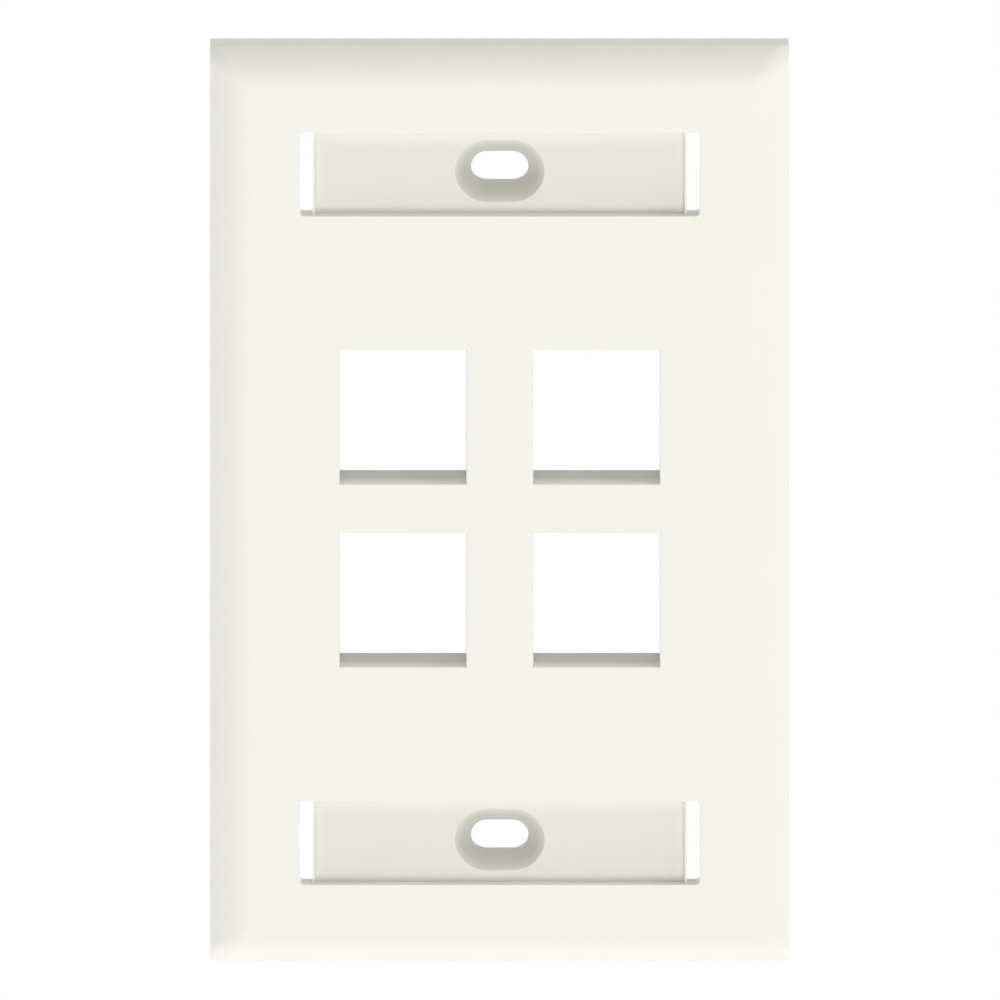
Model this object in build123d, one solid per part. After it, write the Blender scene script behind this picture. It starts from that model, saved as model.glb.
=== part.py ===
from build123d import *
import math
import os

# Single-gang wall faceplate for keystone jacks, one moulded piece.
# X runs across the plate, Z up, and the plate's face looks along -Y. The wall lies on the plane
# y = 0, and the origin is the centre of the plate on that plane. All lengths are millimetres.

# Plate: 2.75 by 4.5 inch, hollow behind, with a rounded bevel all round the face.
plate_width = 69.85
plate_height = 114.3
side_height = 3.1
bevel_width = 4.8
bevel_drop = 2.5
skin_thickness = 2.4
rim_thickness = 2.0
bevel_corner_radius = 2.5
outer_edge_radius = 0.35

# Jack ports: openings in the face, and a cell with catches behind each.
port_columns = 2
port_rows = 2
port_width = 15.2
port_height = 16.6
port_edge_radius = 0.25
column_gap = 8.1
cell_wall = 1.6
row_divider = 1.9
fixed_lip_depth = 6.4
fixed_hook_room = 2.1
fixed_undercut = 1.4
fixed_catch_height = 0.4
latch_lip_depth = 4.0
latch_undercut = 2.9
latch_catch_height = 1.4
catch_thickness = 1.5
catch_lead_in = 0.7
cell_edge_radius = 0.4
web_thickness = 1.4
web_drop = 2.5

# Label pockets above and below the ports, with a through slot at each end for a window's hooks.
label_side_margin = 10.825
label_height = 10.4
label_depth = 1.6
label_floor = 1.2
label_corner_radius = 0.55
label_edge_radius = 0.12
tray_wall = 1.6
end_slot_width = 1.55
ridge_width = 0.28
ridge_height = 0.8

# Screw slots in the middle of each label pocket, for 82 degree oval or flat heads. The distance
# from the plate's end puts them 83.34 apart, the spacing of a single-gang box.
screw_end_distance = 15.48
screw_slot_height = 3.8
screw_slot_length = 6.9
countersink_height = 7.7
countersink_angle = 82.0
screw_land = 1.2
boss_wall = 1.2

# What follows from the sizes above.
plate_depth = side_height + bevel_drop
label_length = plate_width - 2 * label_side_margin
screw_spacing = plate_height - 2 * screw_end_distance
cell_depth = fixed_lip_depth + fixed_hook_room + catch_thickness
bevel_radius = (bevel_width**2 + bevel_drop**2) / (2 * bevel_drop)
column_pitch = port_width + column_gap
row_pitch = port_height + fixed_undercut + row_divider + latch_undercut
label_back = label_depth + label_floor
countersink_slope = math.tan(math.radians(countersink_angle / 2))
countersink_depth = (countersink_height - screw_slot_height) / 2 / countersink_slope
boss_back = label_depth + countersink_depth + screw_land
past_surface = 1.0

# Section planes: the first coordinate runs across or up the plate, the second forward from the wall.
across_section = Plane(origin=(0, 0, 0), x_dir=(1, 0, 0), z_dir=(0, 0, -1))
upright_section = Plane(origin=(0, 0, 0), x_dir=(0, 0, 1), z_dir=(1, 0, 0))


# Evenly spaced places about zero.
def spread(count, pitch):
    return [(index - (count - 1) / 2) * pitch for index in range(count)]


# A plane parallel to the face, at a depth behind it, looking into the plate.
def plane_at(depth):
    return Plane(origin=(0, depth - plate_depth, 0), x_dir=(1, 0, 0), z_dir=(0, 1, 0))


# A box between two depths behind the face.
def block(width, height, front_depth, back_depth, x=0, z=0):
    middle = (front_depth + back_depth) / 2 - plate_depth
    return Pos(x, middle, z) * Box(width, back_depth - front_depth, height)


# Outer section of the plate: straight sides, then an arc that runs out flat into the face.
def outer_section(half_span):
    face_end = half_span - bevel_width
    turn = math.atan2(bevel_width, bevel_radius - bevel_drop) / 2
    mid_across = face_end + bevel_radius * math.sin(turn)
    mid_forward = plate_depth - bevel_radius * (1 - math.cos(turn))
    right = ThreePointArc((half_span, side_height), (mid_across, mid_forward), (face_end, plate_depth))
    left = ThreePointArc((-face_end, plate_depth), (-mid_across, mid_forward), (-half_span, side_height))
    return make_face([
        Line((-half_span, 0), (half_span, 0)),
        Line((half_span, 0), (half_span, side_height)),
        right,
        Line((face_end, plate_depth), (-face_end, plate_depth)),
        left,
        Line((-half_span, side_height), (-half_span, 0)),
    ])


# Section of the hollow behind the face, whose sloping part is parallel to the bevel's chord.
def hollow_section(half_span):
    side = half_span - rim_thickness
    roof_end = half_span - bevel_width
    roof = plate_depth - skin_thickness
    side_top = roof - bevel_drop * (bevel_width - rim_thickness) / bevel_width
    return make_face(Polyline(
        (-side, -past_surface),
        (side, -past_surface),
        (side, side_top),
        (roof_end, roof),
        (-roof_end, roof),
        (-side, side_top),
        close=True,
    ))


# Where two crossed extrusions of a section meet, its bevel is mitred at the corners.
def crossed(section):
    across = extrude(across_section * section(plate_width / 2), plate_height / 2, both=True)
    upright = extrude(upright_section * section(plate_height / 2), plate_width / 2, both=True)
    return across & upright


# The mitres are the only edges that run across, up and forward at once. Once they are rounded, the
# bevel's foot dips a little at each corner.
def plate_shell():
    body = crossed(outer_section)
    mitres = [edge for edge in body.edges() if min(tuple(edge.bounding_box().size)) > bevel_drop / 2]
    body = fillet(mitres, bevel_corner_radius)
    dip = bevel_corner_radius / 4
    bevel_foot = body.edges().filter_by_position(Axis.Y, -side_height - dip, -side_height + dip)
    corners = body.edges().filter_by(Axis.Y)
    body = fillet(bevel_foot + corners, outer_edge_radius)
    return body - crossed(hollow_section)


# The void of one jack cell, as a section (up, forward) drawn out to the port's width.
# A jack's fixed hook goes over the lip below, and its sprung latch snaps in above.
def cell_void(x, z):
    half = port_height / 2
    front = plate_depth + past_surface
    back = plate_depth - cell_depth - past_surface
    fixed_lip = plate_depth - fixed_lip_depth
    latch_lip = plate_depth - latch_lip_depth
    catch_face = plate_depth - cell_depth + catch_thickness
    lead_in_start = plate_depth - cell_depth + catch_lead_in
    fixed_floor = -half - fixed_undercut
    fixed_catch = fixed_floor + fixed_catch_height
    latch_roof = half + latch_undercut
    latch_catch = latch_roof - latch_catch_height
    past_lead_in = catch_lead_in + past_surface
    outline = Polyline(
        (-half, front),
        (-half, fixed_lip),
        (fixed_floor, fixed_lip),
        (fixed_floor, catch_face),
        (fixed_catch, lead_in_start),
        (fixed_catch, back),
        (latch_catch + past_lead_in, back),
        (latch_catch, lead_in_start),
        (latch_catch, catch_face),
        (latch_roof, catch_face),
        (latch_roof, latch_lip),
        (half, latch_lip),
        (half, front),
        close=True,
    )
    return Pos(x, 0, z) * extrude(upright_section * make_face(outline), port_width / 2, both=True)


# Solid stock for the cells: a bar behind each column of ports, and webs from bar to bar.
def cell_stock():
    top = (port_rows - 1) / 2 * row_pitch + port_height / 2 + latch_undercut + cell_wall
    bottom = -(port_rows - 1) / 2 * row_pitch - port_height / 2 - fixed_undercut - cell_wall
    bar = block(port_width + 2 * cell_wall, top - bottom, skin_thickness / 2, cell_depth)
    back_edges = bar.faces().sort_by(Axis.Y)[-1].edges()
    bar = fillet(bar.edges().filter_by(Axis.Y) + back_edges, cell_edge_radius)
    bars = [Pos(x, 0, (top + bottom) / 2) * bar for x in spread(port_columns, column_pitch)]
    span = (port_columns - 1) * column_pitch
    web_places = [bottom + web_thickness / 2, (top + bottom) / 2, top - web_thickness / 2]
    webs = [
        block(span, web_thickness, skin_thickness / 2, cell_depth - web_drop, 0, z)
        for z in web_places
    ]
    return bars + webs


# A slot with round ends, between two depths behind the face.
def round_slot(length, height, front_depth, back_depth, z):
    profile = plane_at(front_depth) * SlotOverall(length, height)
    return Pos(0, 0, z) * extrude(profile, back_depth - front_depth)


# Material behind one label pocket: its floor, and the boss round the screw slot.
def label_stock(z):
    tray = block(
        label_length + 2 * tray_wall,
        label_height + 2 * tray_wall,
        skin_thickness / 2,
        label_back,
        0,
        z,
    )
    flare = 2 * (label_depth + countersink_depth - label_back) * countersink_slope
    boss_extra = flare + 2 * boss_wall
    boss = round_slot(
        screw_slot_length + boss_extra,
        screw_slot_height + boss_extra,
        label_depth,
        boss_back,
        z,
    )
    return [tray, boss]


# Ridge between the label's seat and one end slot.
def label_ridge(side, z):
    x = side * (label_length / 2 - end_slot_width - ridge_width / 2)
    top = label_depth - ridge_height
    return block(ridge_width, label_height, top, label_back, x, z)


# Everything cut out of one label pocket.
def label_void(z):
    outline = plane_at(-past_surface) * RectangleRounded(label_length, label_height, label_corner_radius)
    recess = Pos(0, 0, z) * extrude(outline, label_depth + past_surface)
    through = Pos(0, 0, z) * extrude(outline, plate_depth + past_surface)
    slot_x = label_length / 2 - end_slot_width / 2
    ends = [
        through & block(end_slot_width, label_height, -past_surface, plate_depth, x, z)
        for x in (-slot_x, slot_x)
    ]
    return [recess] + ends


# Screw slot and its countersink, through the pocket's floor and the boss.
def screw_void(z):
    slot = round_slot(screw_slot_length, screw_slot_height, 0, boss_back + past_surface, z)
    flare = countersink_height - screw_slot_height
    mouth = plane_at(label_depth) * SlotOverall(screw_slot_length + flare, countersink_height)
    cone = extrude(mouth, countersink_depth, taper=countersink_angle / 2)
    return [slot, Pos(0, 0, z) * cone]


# The rims where openings break the flat of the face, between two heights on the plate.
def mouth_edges(body, low, high):
    on_face = body.edges().filter_by_position(Axis.Y, -plate_depth, -plate_depth)
    clear_x = plate_width / 2 - bevel_width
    inner = on_face.filter_by_position(Axis.X, -clear_x, clear_x, inclusive=(False, False))
    return inner.filter_by_position(Axis.Z, low, high, inclusive=(False, False))


def faceplate():
    label_places = [-screw_spacing / 2, screw_spacing / 2]
    body = plate_shell()
    for piece in cell_stock():
        body += piece
    for z in label_places:
        for piece in label_stock(z):
            body += piece
    for x in spread(port_columns, column_pitch):
        for z in spread(port_rows, row_pitch):
            body -= cell_void(x, z)
    for z in label_places:
        for void in label_void(z):
            body -= void
        for side in (-1, 1):
            body += label_ridge(side, z)
        for void in screw_void(z):
            body -= void
    ports_end = (port_rows - 1) / 2 * row_pitch + port_height / 2 + latch_undercut
    face_end = plate_height / 2 - bevel_width
    body = fillet(mouth_edges(body, -ports_end, ports_end), port_edge_radius)
    labels = mouth_edges(body, ports_end, face_end) + mouth_edges(body, -face_end, -ports_end)
    return fillet(labels, label_edge_radius)


os.makedirs("parts", exist_ok=True)
plate = faceplate()
plate.label = "faceplate"
export_step(plate, "parts/faceplate.step")
print("faceplate", round(plate.volume, 1), "mm3", plate.bounding_box())
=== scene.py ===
import bpy
import math
import numpy as np
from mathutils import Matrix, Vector

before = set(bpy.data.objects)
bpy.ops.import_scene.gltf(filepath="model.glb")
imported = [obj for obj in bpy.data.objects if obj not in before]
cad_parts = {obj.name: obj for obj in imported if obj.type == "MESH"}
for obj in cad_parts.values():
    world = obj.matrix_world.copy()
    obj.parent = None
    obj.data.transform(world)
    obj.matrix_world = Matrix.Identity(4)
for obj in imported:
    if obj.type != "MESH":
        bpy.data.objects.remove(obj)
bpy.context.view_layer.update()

# The photograph looks down on the plate from a little above, and its edges don't converge.
cameraView = {
    "elevation": 15.0,       # degrees above the horizon
    "distance": 0.9,         # metres from the aim point
    "frameWidth": 0.12042,   # metres across the picture
    "aimRight": 0.00003,
    "aimUp": -0.00040,
    "clip": (0.01, 20.0),    # metres, nearest and farthest seen
}


def addCamera(v):
    elevation = math.radians(v["elevation"])
    back = Vector((0.0, -math.cos(elevation), math.sin(elevation)))
    up = Vector((0.0, math.sin(elevation), math.cos(elevation)))
    data = bpy.data.cameras.new("camera")
    data.type = "ORTHO"
    data.ortho_scale = v["frameWidth"]
    data.clip_start, data.clip_end = v["clip"]
    data.dof.use_dof = False
    camera = bpy.data.objects.new("camera", data)
    aim = Vector((v["aimRight"], 0.0, 0.0)) + up * v["aimUp"]
    camera.location = aim + back * v["distance"]
    camera.rotation_mode = "QUATERNION"
    camera.rotation_quaternion = (-back).to_track_quat("-Z", "Y")
    bpy.context.scene.collection.objects.link(camera)
    bpy.context.scene.camera = camera


addCamera(cameraView)
print("stage 2: camera placed")

# Warm white moulded plastic. The mould leaves a fine, even grain on it, finer in front than behind.
# Shade is painted into its colour in the pockets and the recesses further in.
plasticLook = {
    "colour": (0.840, 0.831, 0.758),
    "shade": (0.829, 0.819, 0.742),   # the colour where the melt cooled slowest
    "pocket": 0.90,                   # painted shade: how much darker the pockets' floors are drawn
    "paintedInnerShade": 0.76,                   # and the darker painted shade on the walls further in
    "floorsStart": (-0.0046, -0.0041),    # metres along Y where each painted shade begins and ends
    "paintedInnerShadeStarts": (-0.0039, -0.0030),
    "paintedShadeEnds": (0.0008, 0.0040),
    "paintedShadeHalfWidth": (0.0222, 0.0224),    # and metres from the middle where the painted shade ends
    "paintedShadeHalfHeight": (0.0520, 0.0522),
    "cloudSize": 0.018,               # metres
    "speckSize": 0.0009,
    "glossFront": (0.38, 0.46),       # least and most roughness
    "glossBack": (0.48, 0.58),
    "grainSize": 0.00022,
    "grainDepthFront": 0.0000015,
    "grainDepthBack": 0.000005,
    "wave": 0.02,                     # metres from crest to crest of the slight unevenness
    "waveDepth": 0.000012,
    "ior": 1.46,
    "subsurface": 0.08,
    "subsurfaceScale": 0.0007,
    "subsurfaceReach": (1.0, 0.9, 0.7),   # red, green and blue, as shares of the scale
}


def addNode(tree, kind, **values):
    node = tree.nodes.new(kind)
    for key, value in values.items():
        setattr(node, key, value)
    return node


def noiseNode(tree, coordinates, size, detail):
    node = addNode(tree, "ShaderNodeTexNoise", noise_dimensions="3D")
    node.inputs["Scale"].default_value = 1.0 / size
    node.inputs["Detail"].default_value = detail
    tree.links.new(coordinates, node.inputs["Vector"])
    return node.outputs["Fac"]


# A value read from one range and carried into another.
def rangeNode(tree, value, fromLow, fromHigh, toLow, toHigh):
    node = addNode(tree, "ShaderNodeMapRange", clamp=True)
    for name, number in zip(("From Min", "From Max", "To Min", "To Max"),
                            (fromLow, fromHigh, toLow, toHigh)):
        node.inputs[name].default_value = number
    tree.links.new(value, node.inputs["Value"])
    return node.outputs["Result"]


def mixValues(tree, share, first, second):
    node = addNode(tree, "ShaderNodeMix", data_type="FLOAT")
    tree.links.new(share, node.inputs["Factor"])
    for socket, value in zip((node.inputs["A"], node.inputs["B"]), (first, second)):
        if isinstance(value, float):
            socket.default_value = value
        else:
            tree.links.new(value, socket)
    return node.outputs["Result"]


def mathNode(tree, operation, first, second):
    node = addNode(tree, "ShaderNodeMath", operation=operation)
    for socket, value in zip(node.inputs, (first, second)):
        if isinstance(value, float):
            socket.default_value = value
        else:
            tree.links.new(value, socket)
    return node.outputs["Value"]


def mouldedPlastic(v):
    material = bpy.data.materials.new("mouldedPlastic")
    material.use_nodes = True
    tree = material.node_tree
    tree.nodes.clear()
    output = addNode(tree, "ShaderNodeOutputMaterial")
    shader = addNode(tree, "ShaderNodeBsdfPrincipled")
    tree.links.new(shader.outputs["BSDF"], output.inputs["Surface"])
    shader.inputs["IOR"].default_value = v["ior"]
    shader.inputs["Subsurface Weight"].default_value = v["subsurface"]
    shader.inputs["Subsurface Scale"].default_value = v["subsurfaceScale"]
    shader.inputs["Subsurface Radius"].default_value = v["subsurfaceReach"]

    place = addNode(tree, "ShaderNodeTexCoord").outputs["Object"]
    cloud = noiseNode(tree, place, v["cloudSize"], 3.0)
    speck = noiseNode(tree, place, v["speckSize"], 2.0)
    grain = noiseNode(tree, place, v["grainSize"], 2.0)
    wave = noiseNode(tree, place, v["wave"], 0.0)

    # behind is 1 on what faces the wall and 0 on what faces the room
    normal = addNode(tree, "ShaderNodeSeparateXYZ")
    tree.links.new(addNode(tree, "ShaderNodeNewGeometry").outputs["Normal"], normal.inputs[0])
    behind = rangeNode(tree, normal.outputs["Y"], 0.1, 0.4, 0.0, 1.0)

    colour = addNode(tree, "ShaderNodeMix", data_type="RGBA")
    colour.inputs["A"].default_value = (*v["colour"], 1.0)
    colour.inputs["B"].default_value = (*v["shade"], 1.0)
    blotch = mathNode(tree, "ADD", mathNode(tree, "MULTIPLY", cloud, 0.75),
                      mathNode(tree, "MULTIPLY", speck, 0.25))
    tree.links.new(rangeNode(tree, blotch, 0.35, 0.65, 0.0, 1.0), colour.inputs["Factor"])

    # This mask places the painted shade of the recesses. It is 1 between the end slots, on the face
    # and what lies behind it. It is 0 on what faces the wall, and fades towards the back of the
    # cells.
    point = addNode(tree, "ShaderNodeSeparateXYZ")
    tree.links.new(place, point.inputs[0])
    aside = mathNode(tree, "ABSOLUTE", point.outputs["X"], 0.0)
    fromMiddle = mathNode(tree, "ABSOLUTE", point.outputs["Z"], 0.0)
    inward = point.outputs["Y"]
    across = rangeNode(tree, aside, *v["paintedShadeHalfWidth"], 1.0, 0.0)
    along = rangeNode(tree, fromMiddle, *v["paintedShadeHalfHeight"], 1.0, 0.0)
    paintedShadeMask = mathNode(tree, "MULTIPLY", across, along)
    paintedShadeMask = mathNode(tree, "MULTIPLY", paintedShadeMask, mathNode(tree, "SUBTRACT", 1.0, behind))
    paintedShadeMask = mathNode(tree, "MULTIPLY", paintedShadeMask, rangeNode(tree, inward, *v["paintedShadeEnds"], 1.0, 0.0))
    # Painted shade: the colour is drawn darker on the pocket floors, and darker still further in,
    # where shade falls in the recesses.
    floorShadeShare = rangeNode(tree, inward, *v["floorsStart"], 1.0, v["pocket"])
    innerShadeShare = rangeNode(tree, inward, *v["paintedInnerShadeStarts"], 1.0, v["paintedInnerShade"] / v["pocket"])
    share = mathNode(tree, "MULTIPLY", floorShadeShare, innerShadeShare)
    paintedShadeGrey = addNode(tree, "ShaderNodeCombineColor")
    for socket in paintedShadeGrey.inputs:
        tree.links.new(share, socket)
    paintedShadeMix = addNode(tree, "ShaderNodeMix", data_type="RGBA", blend_type="MULTIPLY")
    tree.links.new(paintedShadeGrey.outputs["Color"], paintedShadeMix.inputs["B"])
    tree.links.new(paintedShadeMask, paintedShadeMix.inputs["Factor"])
    tree.links.new(colour.outputs["Result"], paintedShadeMix.inputs["A"])
    tree.links.new(paintedShadeMix.outputs["Result"], shader.inputs["Base Color"])

    frontGloss = rangeNode(tree, speck, 0.3, 0.7, *v["glossFront"])
    backGloss = rangeNode(tree, speck, 0.3, 0.7, *v["glossBack"])
    tree.links.new(mixValues(tree, behind, frontGloss, backGloss), shader.inputs["Roughness"])

    depth = mixValues(tree, behind, v["grainDepthFront"], v["grainDepthBack"])
    height = mathNode(tree, "ADD", mathNode(tree, "MULTIPLY", grain, depth),
                      mathNode(tree, "MULTIPLY", wave, v["waveDepth"]))
    bump = addNode(tree, "ShaderNodeBump")
    bump.inputs["Strength"].default_value = 1.0
    bump.inputs["Distance"].default_value = 1.0
    tree.links.new(height, bump.inputs["Height"])
    tree.links.new(bump.outputs["Normal"], shader.inputs["Normal"])
    return material


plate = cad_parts["faceplate"]
plastic = mouldedPlastic(plasticLook)
for slot in plate.material_slots:
    slot.material = plastic
print("stage 3: plastic on the plate")

# Soft lamps round the plate: degrees away from straight in front, the turn round it (0 is above and
# 90 to the right), the lamp's width in degrees, and its strength, where 1 shows white as white.
studioLamps = {
    "front": (6, 90, 60, 0.40),
    "lowFront": (30, 180, 60, 0.34),
    "upperRight": (84, 45, 30, 0.32),
    "lowerRight": (84, 135, 30, 0.30),
    "lowerLeft": (84, 225, 30, 0.28),
    "upperLeft": (84, 315, 30, 0.13),
    "behindAbove": (135, 0, 60, 0.10),
    "behindRight": (140, 120, 60, 0.40),
    "behindLeft": (140, 240, 60, 0.40),
}


def addLamps(lamps):
    for name, (tilt, turn, width, strength) in lamps.items():
        data = bpy.data.lights.new(name, "SUN")
        data.energy = strength * math.pi
        data.angle = math.radians(width)
        lamp = bpy.data.objects.new(name, data)
        tilt, turn = math.radians(tilt), math.radians(turn)
        aside = math.sin(tilt)
        towards = Vector((aside * math.sin(turn), -math.cos(tilt), aside * math.cos(turn)))
        lamp.rotation_mode = "QUATERNION"
        lamp.rotation_quaternion = towards.to_track_quat("Z", "Y")
        bpy.context.scene.collection.objects.link(lamp)


addLamps(studioLamps)

# The surround shows white, and adds a little light of its own.
worldLook = {
    "light": (0.18, 0.18, 0.18),
}


def addWorld(v):
    world = bpy.data.worlds.new("surround")
    bpy.context.scene.world = world
    world.use_nodes = True
    tree = world.node_tree
    tree.nodes.clear()
    output = addNode(tree, "ShaderNodeOutputWorld")
    lit = addNode(tree, "ShaderNodeBackground", name="lit")
    lit.inputs["Color"].default_value = (*v["light"], 1.0)
    seen = addNode(tree, "ShaderNodeBackground", name="seen")
    seen.inputs["Color"].default_value = (1.0, 1.0, 1.0, 1.0)
    path = addNode(tree, "ShaderNodeLightPath")
    share = mathNode(tree, "MAXIMUM", path.outputs["Is Camera Ray"], path.outputs["Is Glossy Ray"])
    share = mathNode(tree, "MAXIMUM", share, path.outputs["Is Transmission Ray"])
    mix = addNode(tree, "ShaderNodeMixShader")
    tree.links.new(share, mix.inputs[0])
    tree.links.new(lit.outputs[0], mix.inputs[1])
    tree.links.new(seen.outputs[0], mix.inputs[2])
    tree.links.new(mix.outputs[0], output.inputs["Surface"])


addWorld(worldLook)

# A pale round floor well below the plate, which turns to plain white before its edge.
floorLook = {
    "height": -0.45,
    "radius": 0.60,
    "fadeStart": 0.25,
    "fadeEnd": 0.582,
    "rings": 24,
    "spokes": 96,
    "colour": (0.86, 0.86, 0.85),
    "lift": 0.35,            # how far its middle is already turned to white
}


# Ring points at radius r and angle t: (r cos t, r sin t), for rings from the centre out.
def addFloor(v):
    rings, spokes = v["rings"], v["spokes"]
    r = np.linspace(0.0, v["radius"], rings + 1)[1:, None]
    t = np.linspace(0.0, 2 * math.pi, spokes, endpoint=False)[None, :]
    points = np.stack([r * np.cos(t), r * np.sin(t), np.full((rings, spokes), v["height"])], -1)
    points = np.vstack([[(0.0, 0.0, v["height"])], points.reshape(-1, 3)])
    near = 1 + np.arange(rings - 1)[:, None] * spokes + np.arange(spokes)[None, :]
    after = 1 + np.arange(rings - 1)[:, None] * spokes + (np.arange(spokes) + 1)[None, :] % spokes
    quads = np.stack([near, near + spokes, after + spokes, after], -1).reshape(-1, 4)
    first = np.arange(spokes)
    middle = np.stack([np.zeros(spokes, int), 1 + first, 1 + (first + 1) % spokes], -1)
    mesh = bpy.data.meshes.new("floor")
    mesh.from_pydata(points.tolist(), [], middle.tolist() + quads.tolist())
    floor = bpy.data.objects.new("floor", mesh)
    bpy.context.scene.collection.objects.link(floor)
    material = bpy.data.materials.new("paleFloor")
    material.use_nodes = True
    tree = material.node_tree
    tree.nodes.clear()
    output = addNode(tree, "ShaderNodeOutputMaterial")
    matt = addNode(tree, "ShaderNodeBsdfDiffuse")
    matt.inputs["Color"].default_value = (*v["colour"], 1.0)
    white = addNode(tree, "ShaderNodeEmission")
    place = addNode(tree, "ShaderNodeTexCoord").outputs["Object"]
    length = addNode(tree, "ShaderNodeVectorMath", operation="LENGTH")
    flat = addNode(tree, "ShaderNodeVectorMath", operation="MULTIPLY")
    flat.inputs[1].default_value = (1.0, 1.0, 0.0)
    tree.links.new(place, flat.inputs[0])
    tree.links.new(flat.outputs["Vector"], length.inputs[0])
    outward = rangeNode(tree, length.outputs["Value"], v["fadeStart"], v["fadeEnd"], v["lift"], 1.0)
    share = mathNode(tree, "MULTIPLY", outward,
                     addNode(tree, "ShaderNodeLightPath").outputs["Is Camera Ray"])
    mix = addNode(tree, "ShaderNodeMixShader")
    tree.links.new(share, mix.inputs[0])
    tree.links.new(matt.outputs[0], mix.inputs[1])
    tree.links.new(white.outputs[0], mix.inputs[2])
    tree.links.new(mix.outputs[0], output.inputs["Surface"])
    mesh.materials.append(material)
    floor.visible_shadow = False      # it catches shadows but keeps no lamp off the plate


addFloor(floorLook)
bpy.context.scene.view_settings.view_transform = "Standard"
print("stage 4: lamps, surround and floor set")
